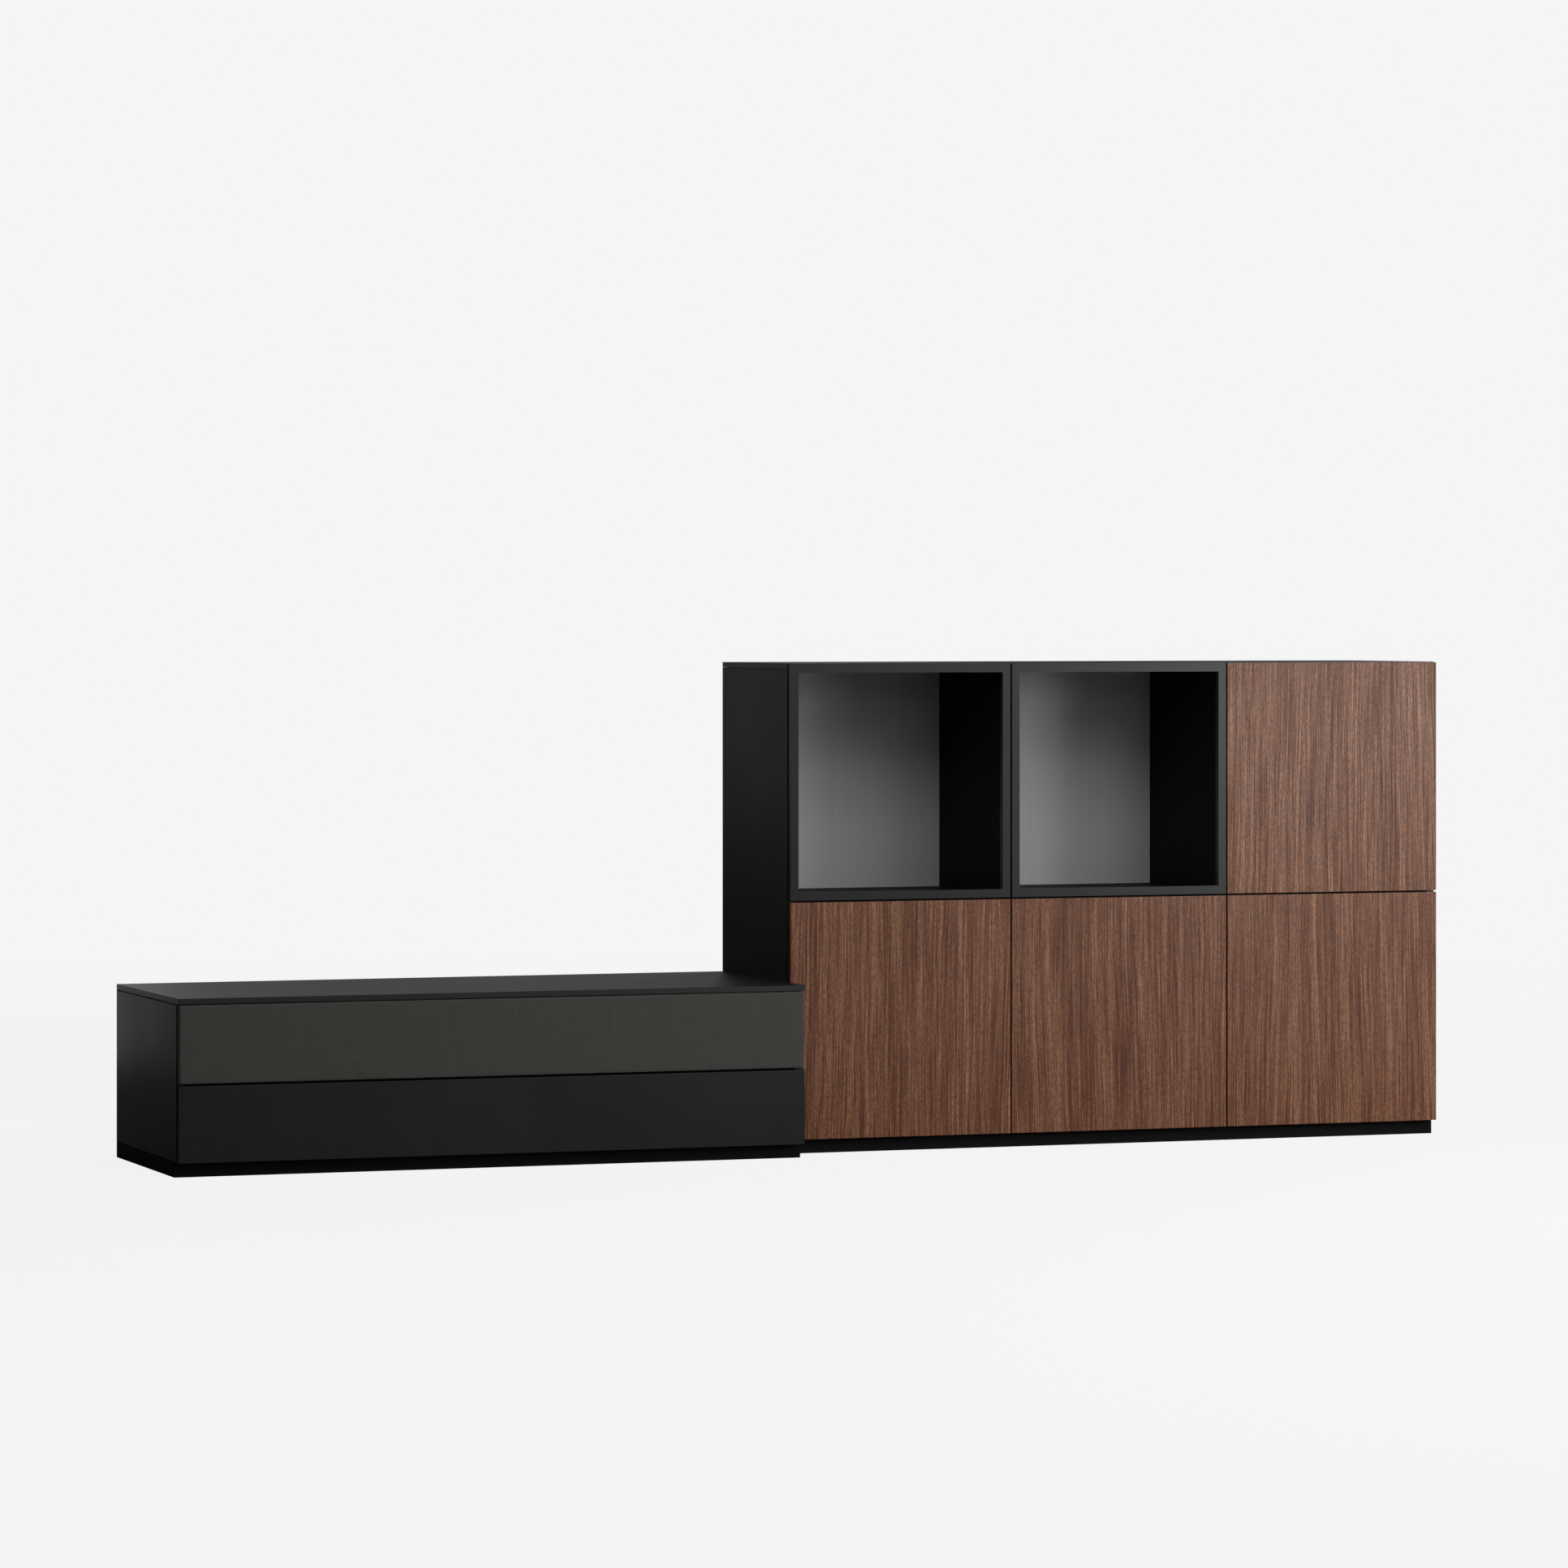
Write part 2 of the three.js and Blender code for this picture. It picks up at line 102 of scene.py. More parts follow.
class Shader:
    """A material's node tree, with a short call for each kind of node."""

    def __init__(self, name):
        self.material = bpy.data.materials.new(name)
        self.material.use_nodes = True
        self.tree = self.material.node_tree
        self.principled = self.tree.nodes["Principled BSDF"]
        self.coords = self.node("ShaderNodeTexCoord").outputs["Object"]

    def node(self, kind, **settings):
        made = self.tree.nodes.new(kind)
        for key, value in settings.items():
            setattr(made, key, value)
        return made

    def put(self, socket, value):
        if isinstance(value, bpy.types.NodeSocket):
            self.tree.links.new(value, socket)
        else:
            socket.default_value = value

    def set(self, **sockets):
        for name, value in sockets.items():
            self.put(self.principled.inputs[name.replace("_", " ")], value)

    def mapped(self, scale, location=(0, 0, 0)):
        made = self.node("ShaderNodeMapping")
        self.put(made.inputs["Vector"], self.coords)
        made.inputs["Scale"].default_value = scale
        made.inputs["Location"].default_value = location
        return made.outputs["Vector"]

    def noise(self, vector, detail=2.0, roughness=0.5):
        """Noise in the scale that `vector` already has."""
        made = self.node("ShaderNodeTexNoise")
        self.put(made.inputs["Vector"], vector)
        made.inputs["Scale"].default_value = 1.0
        made.inputs["Detail"].default_value = detail
        made.inputs["Roughness"].default_value = roughness
        return made.outputs["Fac"]

    def math(self, operation, a, b=0.0, c=0.0):
        made = self.node("ShaderNodeMath", operation=operation)
        for socket, value in zip(made.inputs, (a, b, c)):
            self.put(socket, value)
        return made.outputs[0]

    def ramp(self, factor, stops):
        made = self.node("ShaderNodeValToRGB")
        self.put(made.inputs["Fac"], factor)
        elements = made.color_ramp.elements
        while len(elements) < len(stops):
            elements.new(0.5)
        for element, (place, value) in zip(elements, stops):
            element.position = place
            grey = isinstance(value, (int, float))
            element.color = (value,) * 3 + (1,) if grey else (*value, 1)
        return made.outputs["Color"]

    def mix(self, factor, a, b, blend="MIX"):
        made = self.node("ShaderNodeMix", data_type="RGBA", blend_type=blend)
        self.put(made.inputs["Factor"], factor)
        for name, value in (("A", a), ("B", b)):
            socket = [s for s in made.inputs if s.name == name and s.type == "RGBA"][0]
            self.put(socket, value if isinstance(value, bpy.types.NodeSocket) else (*value, 1))
        return [s for s in made.outputs if s.type == "RGBA"][0]

    def bump(self, height, strength, distance):
        made = self.node("ShaderNodeBump")
        self.put(made.inputs["Height"], height)
        made.inputs["Strength"].default_value = strength
        made.inputs["Distance"].default_value = distance
        return made.outputs["Normal"]

    def emission(self, tone):
        made = self.node("ShaderNodeEmission")
        made.inputs["Color"].default_value = (tone, tone, tone, 1)
        return made.outputs[0]

    def diffuse(self, tone):
        made = self.node("ShaderNodeBsdfDiffuse")
        made.inputs["Color"].default_value = (tone, tone, tone, 1)
        return made.outputs[0]

    def mix_shader(self, factor, a, b):
        made = self.node("ShaderNodeMixShader")
        for socket, value in zip(made.inputs, (factor, a, b)):
            self.put(socket, value)
        return made.outputs[0]

    def parts(self, vector):
        made = self.node("ShaderNodeSeparateXYZ")
        self.put(made.inputs[0], vector)
        return made.outputs

    def joined(self, x, y, z):
        made = self.node("ShaderNodeCombineXYZ")
        for socket, value in zip(made.inputs, (x, y, z)):
            self.put(socket, value)
        return made.outputs[0]


# ---------------------------------------------------------------- materials


def walnut(seed):
    """Straight-grained walnut veneer, its grain along Z, with slow waves, fine lines and pores."""
    s = Shader(f"walnut_{seed}")
    shift = 3.7 * seed
    x, y, z = s.parts(s.coords)
    slow = s.noise(s.mapped((2.4, 2.4, 0.9), (shift, 0, shift)), detail=1.0)
    wave = s.noise(s.mapped((13, 13, 4.5), (shift, 0, 0)), detail=2.0)
    bend = s.math("ADD", s.math("MULTIPLY", slow, 0.06), s.math("MULTIPLY", wave, 0.011))
    across = s.math("ADD", s.math("ADD", x, bend), shift)

    def layer(per_metre, along, detail, roughness=0.5):
        """Streaks: so many to the metre across the grain, and so many along it."""
        wide = s.math("MULTIPLY", across, per_metre)
        place = s.joined(wide, s.math("MULTIPLY", y, per_metre), s.math("MULTIPLY", z, along))
        return s.noise(place, detail=detail, roughness=roughness)

    bands = layer(26.0, 0.5, 2.0)
    streaks = layer(190.0, 2.6, 2.0, 0.6)
    lines = layer(620.0, 7.5, 1.0, 0.6)
    flecks = s.noise(s.mapped((620, 620, 170), (shift, 0, 0)), detail=2.0, roughness=0.7)
    tone = s.math("ADD", s.math("MULTIPLY", bands, 0.36), s.math("MULTIPLY", streaks, 0.64))
    colour = s.ramp(
        tone,
        [
            (0.32, (0.140, 0.0410, 0.0118)),
            (0.45, (0.196, 0.0692, 0.0275)),
            (0.55, (0.243, 0.0972, 0.0455)),
            (0.68, (0.300, 0.1320, 0.0670)),
        ],
    )
    dark_lines = s.ramp(
        lines,
        [
            (0.32, (0.52, 0.31, 0.15)),
            (0.45, (0.85, 0.76, 0.67)),
            (0.55, (1.12, 1.18, 1.25)),
            (0.68, (1.46, 1.72, 1.98)),
        ],
    )
    colour = s.mix(1.0, colour, dark_lines, "MULTIPLY")
    colour = s.mix(1.0, colour, s.ramp(flecks, [(0.34, 0.56), (0.50, 1.0), (0.66, 1.46)]), "MULTIPLY")
    s.set(Base_Color=colour, Roughness=s.math("MULTIPLY_ADD", lines, -0.3, 0.58))
    s.set(Normal=s.bump(s.math("ADD", flecks, s.math("MULTIPLY", lines, 0.6)), 0.35, 0.00012))
    s.principled.inputs["Specular IOR Level"].default_value = 0.37
    return s.material


def lacquer(name, colour, roughness, specular=0.5):
    """Fine-textured matte lacquer on board, a little uneven in tone and gloss."""
    s = Shader(name)
    cloud = s.noise(s.mapped((6, 6, 6)), detail=3.0)
    grain = s.noise(s.mapped((1400, 1400, 1400)), detail=1.0)
    light = tuple(1.12 * c for c in colour)
    dark = tuple(0.90 * c for c in colour)
    s.set(Base_Color=s.ramp(cloud, [(0.35, dark), (0.65, light)]))
    s.set(Roughness=s.math("MULTIPLY_ADD", cloud, 0.08, roughness - 0.04))
    s.set(Normal=s.bump(grain, 0.12, 0.00006))
    s.principled.inputs["Specular IOR Level"].default_value = specular
    return s.material


def laminate():
    """Grey melamine of the insides, with a faint upright brushed grain."""
    s = Shader("grey_laminate")
    grain = s.noise(s.mapped((260, 260, 5)), detail=3.0)
    specks = s.noise(s.mapped((900, 900, 900)), detail=1.0)
    colour = s.ramp(grain, [(0.3, (0.484, 0.472, 0.475)), (0.7, (0.516, 0.503, 0.506))])
    colour = s.mix(1.0, colour, s.ramp(specks, [(0.3, 0.94), (0.7, 1.04)]), "MULTIPLY")
    s.set(Base_Color=colour, Roughness=0.62, Normal=s.bump(specks, 0.15, 0.00006))
    return s.material


def fabric():
    """Plain weave in warm dark grey: two sets of yarns that pass over and under each other."""
    s = Shader("fabric")
    yarn = 0.0011
    x, y, z = s.parts(s.coords)
    wobble = s.noise(s.mapped((120, 120, 120)), detail=2.0)
    slub_x = s.noise(s.mapped((9, 9, 500)), detail=3.0)
    slub_z = s.noise(s.mapped((500, 9, 9)), detail=3.0)
    turn = 2 * math.pi / (2 * yarn)
    along = s.math("ADD", s.math("MULTIPLY", x, turn), s.math("MULTIPLY", wobble, 1.2))
    up = s.math("ADD", s.math("MULTIPLY", s.math("ADD", z, y), turn), s.math("MULTIPLY", wobble, 1.2))
    weave = s.math("MULTIPLY", s.math("SINE", along), s.math("SINE", up))
    height = s.math("ABSOLUTE", weave)
    lift = s.math("MULTIPLY_ADD", weave, 0.5, 0.5)
    yarns = s.mix(lift, (0.076, 0.0725, 0.0655), (0.110, 0.105, 0.095))
    slubs = s.math("ADD", s.math("MULTIPLY", slub_x, 0.5), s.math("MULTIPLY", slub_z, 0.5))
    colour = s.mix(1.0, yarns, s.ramp(slubs, [(0.35, 0.90), (0.65, 1.10)]), "MULTIPLY")
    s.set(Base_Color=colour, Roughness=0.92)
    s.set(Normal=s.bump(s.math("ADD", height, slubs), 0.6, 0.0002))
    s.principled.inputs["Sheen Weight"].default_value = 0.35
    s.principled.inputs["Sheen Roughness"].default_value = 0.5
    s.principled.inputs["Specular IOR Level"].default_value = 0.2
    return s.material


def steel():
    """Nickel-plated pressed steel with faint rolling lines along Y."""
    s = Shader("steel")
    lines = s.noise(s.mapped((700, 9, 700)), detail=3.0)
    spots = s.noise(s.mapped((90, 90, 90)), detail=2.0)
    s.set(Base_Color=s.ramp(spots, [(0.3, (0.50, 0.50, 0.51)), (0.7, (0.64, 0.64, 0.65))]))
    s.set(Metallic=1.0, Roughness=s.math("MULTIPLY_ADD", lines, 0.16, 0.24))
    s.set(Normal=s.bump(lines, 0.08, 0.00005))
    return s.material


def plastic(name, colour):
    """Moulded plastic with a spark-eroded grain."""
    s = Shader(name)
    grain = s.noise(s.mapped((1600, 1600, 1600)), detail=2.0)
    s.set(Base_Color=s.ramp(grain, [(0.3, tuple(0.9 * c for c in colour)), (0.7, colour)]))
    s.set(Roughness=0.5, Normal=s.bump(grain, 0.2, 0.00006))
    return s.material


def board_material():
    """Dark grey foil of the drawer boxes, with a linen emboss."""
    s = Shader("drawer_board")
    warp = s.noise(s.mapped((900, 60, 60)), detail=1.0)
    weft = s.noise(s.mapped((60, 900, 900)), detail=1.0)
    linen = s.math("MULTIPLY", s.math("ADD", warp, weft), 0.5)
    s.set(Base_Color=s.ramp(linen, [(0.35, (0.070, 0.068, 0.064)), (0.65, (0.098, 0.095, 0.09))]))
    s.set(Roughness=0.6, Normal=s.bump(linen, 0.2, 0.00008))
    return s.material


MATERIALS = {
    "black_lacquer": lacquer("black_lacquer", (0.0100, 0.0100, 0.0103), 0.42),
    "front_lacquer": lacquer("front_lacquer", (0.0112, 0.0112, 0.0115), 0.36, 0.32),
    # painted shade: a darker, duller copy of the black lacquer for the left sides, which stand in shade
    "painted_shade_left_side_lacquer": lacquer("painted_shade_left_side_lacquer", (0.0062, 0.0062, 0.0064), 0.42, 0.27),
    "drawer_lacquer": lacquer("drawer_lacquer", (0.0160, 0.0160, 0.0165), 0.38, 0.32),
    # painted shade: a darker, matte copy of the black lacquer for the partitions, shelves, bottom and
    # plinths, so the gaps and recesses read black
    "painted_shade_recess_lacquer": lacquer("painted_shade_recess_lacquer", (0.0060, 0.0060, 0.0062), 0.60, 0.10),
    "grey_laminate": laminate(),
    "fabric": fabric(),
    "drawer_board": board_material(),
    "steel": steel(),
    "grey_plastic": plastic("grey_plastic", (0.25, 0.26, 0.27)),
    "black_plastic": plastic("black_plastic", (0.02, 0.02, 0.021)),
}


# Lacquers of the pieces that differ from their slot's, by the start of their names: the partitions, shelves,
# bottom, plinths and left sides get darker, duller copies of the black lacquer that paint shade into them;
# the lower drawer's front has a lacquer of its own
SPECIAL_LACQUERS = {
    # painted shade in the recessed boards and plinths, so their gaps read black
    "tall_partition": "painted_shade_recess_lacquer",
    "tall_shelf": "painted_shade_recess_lacquer",
    "tall_bottom": "painted_shade_recess_lacquer",
    "tall_plinth": "painted_shade_recess_lacquer",
    "bench_plinth": "painted_shade_recess_lacquer",
    # painted shade on the left sides, which face away from the main lights
    "tall_left_side": "painted_shade_left_side_lacquer",
    "bench_left_side": "painted_shade_left_side_lacquer",
    "lower_drawer_front": "drawer_lacquer",
}


def node_material(name, slot):
    if slot == "walnut":
        return walnut(DOORS.index(name.removeprefix("door_")) + 1)
    lacquers = (finish for start, finish in SPECIAL_LACQUERS.items() if name.startswith(start))
    return MATERIALS[next(lacquers, slot)]


def paint_nodes():
    """Gives every CAD node the material of its slot, and each door a veneer of its own."""
    slots = {part["node"]: part["material_slot"] for part in RECORD["subparts"]}
    for name, obj in NODES.items():
        obj.data.materials.clear()
        obj.data.materials.append(node_material(name, slots[name]))


# Rounding of the boards' edges in mm, by the start of their names; the others have 0.4
EDGE_WIDTHS = {
    "door": 1.0,
    "open": 1.0,
    "lower_drawer_front": 1.0,
    "bench_top": 0.8,
    "tall_top": 0.8,
    "bench_left_side": 0.8,
    "bench_right_side": 0.8,
    "tall_left_side": 0.8,
    "tall_right_side": 0.8,
}


def soften_edges():
    """A fine rounding on every board edge, so that edges catch the light as real ones do."""
    for name, obj in NODES.items():
        width = next((w for start, w in EDGE_WIDTHS.items() if name.startswith(start)), 0.4)
        bevel = obj.modifiers.new("edge", "BEVEL")
        bevel.width = width * MM
        bevel.segments = 3
        bevel.limit_method = "ANGLE"
        bevel.angle_limit = math.radians(50)
        bevel.use_clamp_overlap = True


# ---------------------------------------------------------------- mesh helpers


def mm(*values):
    return Vector([MM * value for value in values])


def made(name, bm, material, body, slot, smooth=True):
    """A finished piece from a bmesh: linked, painted, riding on its body."""
    bmesh.ops.recalc_face_normals(bm, faces=bm.faces)
    mesh = bpy.data.meshes.new(name)
    bm.to_mesh(mesh)
    bm.free()
    mesh.materials.append(material)
    if smooth:
        mesh.polygons.foreach_set("use_smooth", [True] * len(mesh.polygons))
    obj = bpy.data.objects.new(name, mesh)
    bpy.context.scene.collection.objects.link(obj)
    if body:
        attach(obj, body)
    return obj


def rounded(obj, width):
    """Rounds a piece's sharp edges and keeps its flat faces flat."""
    bevel = obj.modifiers.new("edge", "BEVEL")
    bevel.width = width * MM
    bevel.segments = 2
    bevel.limit_method = "ANGLE"
    bevel.angle_limit = math.radians(40)
    bevel.harden_normals = True
    return obj


def frame_at(place, facing, up=(0, 0, 1)):
    """A matrix whose origin is `place` and whose Z axis points along `facing`."""
    z = Vector(facing).normalized()
    x = Vector(up).cross(z).normalized()
    y = z.cross(x)
    turn = Matrix((x, y, z)).transposed().to_4x4()
    return Matrix.Translation(place) @ turn


def add_rings(bm, rings, closed_start=True, closed_end=True):
    """Quads between successive rings of points, with a face over each closed end."""
    rows = [[bm.verts.new(point) for point in ring] for ring in rings]
    count = len(rows[0])
    for a, b in zip(rows, rows[1:]):
        for i in range(count):
            j = (i + 1) % count
            bm.faces.new((a[i], a[j], b[j], b[i]))
    if closed_start:
        bm.faces.new(rows[0][::-1])
    if closed_end:
        bm.faces.new(rows[-1])


def add_lathe(bm, place, profile, segments=28):
    """A turned solid: `profile` lists (radius, height) in mm along the matrix's Z axis."""
    rings = []
    for radius, height in profile:
        turns = (2 * math.pi * i / segments for i in range(segments))
        ring = [mm(radius * math.cos(t), radius * math.sin(t), height) for t in turns]
        rings.append([place @ point for point in ring])
    add_rings(bm, rings)


def recess_depth(radius, angle, reach, depth):
    """How deep a cross recess is at a point of a screw's head."""
    if radius >= reach:
        return 0.0
    arm = abs(math.cos(2 * angle)) ** 6
    return depth * arm * min(1.0, 1.6 * (1 - radius / reach))


def add_screw(bm, place, radius=3.4, rise=1.0):
    """A pan head with a cross recess, standing on the matrix's XY plane."""
    segments = 32
    shares = (1.0, 1.0, 0.94, 0.80, 0.62, 0.46, 0.32, 0.18, 0.06)
    heights = (0.0, 0.45, 0.78, 0.95, 1.0, 1.0, 1.0, 1.0, 1.0)
    rings = []
    for share, height in zip(shares, heights):
        ring = []
        for i in range(segments):
            turn = 2 * math.pi * i / segments
            sunk = recess_depth(share, turn, 0.62, 0.75 * rise)
            ring.append(place @ mm(
                share * radius * math.cos(turn),
                share * radius * math.sin(turn),
                rise * height - sunk,
            ))
        rings.append(ring)
    add_rings(bm, rings)


# ---------------------------------------------------------------- fabric-covered front


# The cover's outline and its sections, in mm
COVER = {
    "edge_radius": 4.0,
    "corner_radius": 3.6,
    "crown": 0.8,
    "crown_reach": 14.0,
    "hem": 13.0,
    "back": 14.45,
    "thickness": 0.6,
}
COVER_STEPS = {"across": 150, "up": 20, "corner": 6, "edge": 7}


def outline_ring(low, high, inset, radius, y):
    """A rounded rectangle in the front's plane, the same number of points whatever its inset."""
    corners = (
        (low.x + inset, low.z + inset, math.pi),
        (high.x - inset, low.z + inset, 1.5 * math.pi),
        (high.x - inset, high.z - inset, 0.0),
        (low.x + inset, high.z - inset, 0.5 * math.pi),
    )
    inward = ((1, 1), (-1, 1), (-1, -1), (1, -1))
    bends = COVER_STEPS["corner"]
    arcs = []
    for (x, z, start), (dx, dz) in zip(corners, inward):
        centre = (x + dx * radius, z + dz * radius)
        arc = []
        for i in range(bends + 1):
            turn = start + 0.5 * math.pi * i / bends
            arc.append(Vector((centre[0] + radius * math.cos(turn), y, centre[1] + radius * math.sin(turn))))
        arcs.append(arc)
    ring = []
    for index, arc in enumerate(arcs):
        ring += arc
        steps = COVER_STEPS["across"] if index % 2 == 0 else COVER_STEPS["up"]
        following = arcs[(index + 1) % 4][0]
        ring += [arc[-1].lerp(following, i / steps) for i in range(1, steps)]
    return ring


def cover_sections():
    """(inset, corner radius, depth) of each ring, in mm, from the hem behind to the face."""
    edge, corner, back = COVER["edge_radius"], COVER["corner_radius"], COVER["back"]
    rows = [(COVER["hem"], back), (4.0, back), (0.9, back), (0.25, back - 0.35), (0.0, back - 1.2)]
    rows += [(0.0, 11.0), (0.0, 8.0), (0.0, 5.5)]
    for i in range(COVER_STEPS["edge"] + 1):
        turn = 0.5 * math.pi * i / COVER_STEPS["edge"]
        rows.append((edge * (1 - math.cos(turn)), edge * (1 - math.sin(turn))))
    rows += [(inset, crown_depth(inset)) for inset in (6.0, 8.5)]
    return [(inset, max(corner - inset, 0.0), depth) for inset, depth in rows]


def crown_depth(inset):
    """How far the padded face stands proud at a distance from its edge; ahead is negative."""
    return -COVER["crown"] * (1 - math.exp(-(inset - COVER["edge_radius"]) / COVER["crown_reach"]))


def cover_face(bm, low, high, front, inset):
    """The face's grid inside the last ring, softly crowned and never quite flat."""
    across, up = COVER_STEPS["across"], COVER_STEPS["up"]
    rows = []
    for j in range(up + 1):
        row = []
        for i in range(across + 1):
            x = low.x + inset + (high.x - low.x - 2 * inset) * i / across
            z = low.z + inset + (high.z - low.z - 2 * inset) * j / up
            reach = min(x - low.x, high.x - x, z - low.z, high.z - z) / MM
            row.append(bm.verts.new((x, front + crown_depth(reach) * MM, z)))
        rows.append(row)
    for a, b in zip(rows, rows[1:]):
        for i in range(across):
            bm.faces.new((a[i], a[i + 1], b[i + 1], b[i]))


def ruffle(bm, low, high, front):
    """Slow unevenness of stretched cloth over wadding: fractions of a millimetre."""
    for vertex in bm.verts:
        slow = noise.noise(Vector((vertex.co.x * 7, 3.1, vertex.co.z * 16)))
        fine = noise.noise(Vector((vertex.co.x * 31, 8.4, vertex.co.z * 40)))
        if vertex.co.y < front + 3 * MM:
            vertex.co.y += (0.16 * slow + 0.05 * fine) * MM
        for axis in (0, 2):
            if vertex.co[axis] < low[axis] + 0.3 * MM:
                vertex.co[axis] += 0.18 * abs(slow) * MM
            if vertex.co[axis] > high[axis] - 0.3 * MM:
                vertex.co[axis] -= 0.18 * abs(slow) * MM


def fabric_cover():
    """The cloth of the upper drawer: one sheet stretched over the front and turned in behind it."""
    low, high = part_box("upper_drawer_fabric")
    front = low.y
    sections = cover_sections()
    bm = bmesh.new()
    rings = [
        outline_ring(low, high, inset * MM, radius * MM, front + depth * MM)
        for inset, radius, depth in sections
    ]
    add_rings(bm, rings, closed_start=False, closed_end=False)
    cover_face(bm, low, high, front, sections[-1][0] * MM)
    bmesh.ops.remove_doubles(bm, verts=bm.verts, dist=0.00001)
    ruffle(bm, low, high, front)
    cover = made("upper_drawer_cover", bm, MATERIALS["fabric"], "upper_drawer", "fabric")
    solid = cover.modifiers.new("cloth", "SOLIDIFY")
    solid.thickness = COVER["thickness"] * MM
    solid.offset = -1.0
    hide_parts("upper_drawer_fabric")


# ---------------------------------------------------------------- door fittings


# Places on a hinge in mm, from the door's hinge edge, its front plane and the cup's centre
HINGE = {
    "wing_x": -32.0,
    "wing_z": 24.0,
    "flange": 14.85,
    "link_start": 26.0,
    "link_end": 6.5,
    "fold_start": 19.5,
    "fold_end": 9.0,
    "outer_link": (1.2, 3.4),  # each link's place along the arm's tip, and its half height
    "inner_link": (5.4, 2.6),
    "link_thickness": 1.3,
    "arm_pin": (24.5, 7.4),  # each pin's depth and half length
    "cup_pin": (7.6, 5.6),
    "pin_radius": 1.1,
}

# Screws of a hinge's arm in mm: faces from the wall, depths from the door's front plane
ARM = {
    "plate": 3,
    "face": 11,
    "wing_depth": 52,
    "wing_z": 18,
    "screws": ((41, 2.6), (66, 3.9)),  # depth and radius of the adjusting and the clamping screw
}
# Screws of a latch's ears in mm, from the housing's wall side, front and middle
LATCH_SCREW = {"ear": 3, "depth": 21, "z": 23}
# Bumper pads in mm, from the door's free edge and from its top and bottom
PAD = {
    "edge": 3.6,
    "end": 22,
    "profile": ((2.9, 0), (2.9, 0.45), (2.5, 0.75), (1.6, 0.88), (0.5, 0.9)),
}


def hinge_origin(door, place):
    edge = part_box(f"door_{door}")[1].x
    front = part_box(f"door_{door}")[0].y
    low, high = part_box(f"hinge_cup_{door}_{place}")
    return Vector((edge, front, (low.z + high.z) / 2))


def cup_screws(door):
    """The two wood screws through each cup's flange."""
    bm = bmesh.new()
    for place in ("bottom", "top"):
        origin = hinge_origin(door, place)
        for side in (-1, 1):
            seat = origin + mm(HINGE["wing_x"], HINGE["flange"], side * HINGE["wing_z"])
            add_screw(bm, frame_at(seat, (0, 1, 0)), 3.6, 1.0)
    made(f"cup_screws_{door}", bm, MATERIALS["steel"], f"door_{door}", "steel")


def arm_screws(door):
    """The mounting plates' wood screws, and each arm's adjusting and clamping screws."""
    bm = bmesh.new()
    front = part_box(f"door_{door}")[0].y
    for place in ("bottom", "top"):
        low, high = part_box(f"hinge_arm_{door}_{place}")
        middle = (low.z + high.z) / 2
        plate = high.x - ARM["plate"] * MM
        face = high.x - ARM["face"] * MM
        for side in (-1, 1):
            seat = Vector((plate, front + ARM["wing_depth"] * MM, middle + side * ARM["wing_z"] * MM))
            add_screw(bm, frame_at(seat, (-1, 0, 0)), 3.8, 1.2)
        for depth, radius in ARM["screws"]:
            seat = Vector((face, front + depth * MM, middle))
            add_screw(bm, frame_at(seat, (-1, 0, 0)), radius, 0.9)
    made(f"arm_screws_{door}", bm, MATERIALS["steel"], "cabinets", "steel")


def link_strap(name, origin, x, half_height):
    """One of the hinge's links, built straight as it lies in the closed hinge."""
    steps = 36
    start, end = HINGE["link_start"], HINGE["link_end"]
    thickness = HINGE["link_thickness"]
    rings = []
    for i in range(steps + 1):
        y = start + (end - start) * i / steps
        corners = ((0, -1), (thickness, -1), (thickness, 1), (0, 1))
        rings.append([origin + mm(x + dx, y, side * half_height) for dx, side in corners])
    bm = bmesh.new()
    add_rings(bm, rings)
    strap = made(name, bm, MATERIALS["steel"], None, "steel", smooth=False)
    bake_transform(strap)


def pin(bm, place, radius, half_length):
    """A riveted pin along Z, with a slightly domed head at each end."""
    profile = [
        (0.55 * radius, -half_length - 0.4),
        (1.35 * radius, -half_length - 0.2),
        (1.35 * radius, -half_length + 0.3),
        (radius, -half_length + 0.3),
        (radius, half_length - 0.3),
        (1.35 * radius, half_length - 0.3),
        (1.35 * radius, half_length + 0.2),
        (0.55 * radius, half_length + 0.4),
    ]
    add_lathe(bm, Matrix.Translation(place), profile, 20)


def hinge_links(door):
    """Both hinges' links, with their pins in the arm and in the cup."""
    arm_pins = bmesh.new()
    cup_pins = bmesh.new()
    for place in ("bottom", "top"):
        origin = hinge_origin(door, place)
        tip = (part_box(f"hinge_arm_{door}_{place}")[0].x - origin.x) / MM
        for link in ("outer_link", "inner_link"):
            offset, half_height = HINGE[link]
            link_strap(f"{link}_{door}_{place}", origin, tip + offset, half_height)
            x = tip + offset + HINGE["link_thickness"] / 2
            for pins, kind in ((arm_pins, "arm_pin"), (cup_pins, "cup_pin")):
                depth, half_length = HINGE[kind]
                pin(pins, origin + mm(x, depth, 0), HINGE["pin_radius"], half_length)
    made(f"arm_pins_{door}", arm_pins, MATERIALS["steel"], "cabinets", "steel")
    made(f"cup_pins_{door}", cup_pins, MATERIALS["steel"], f"door_{door}", "steel")


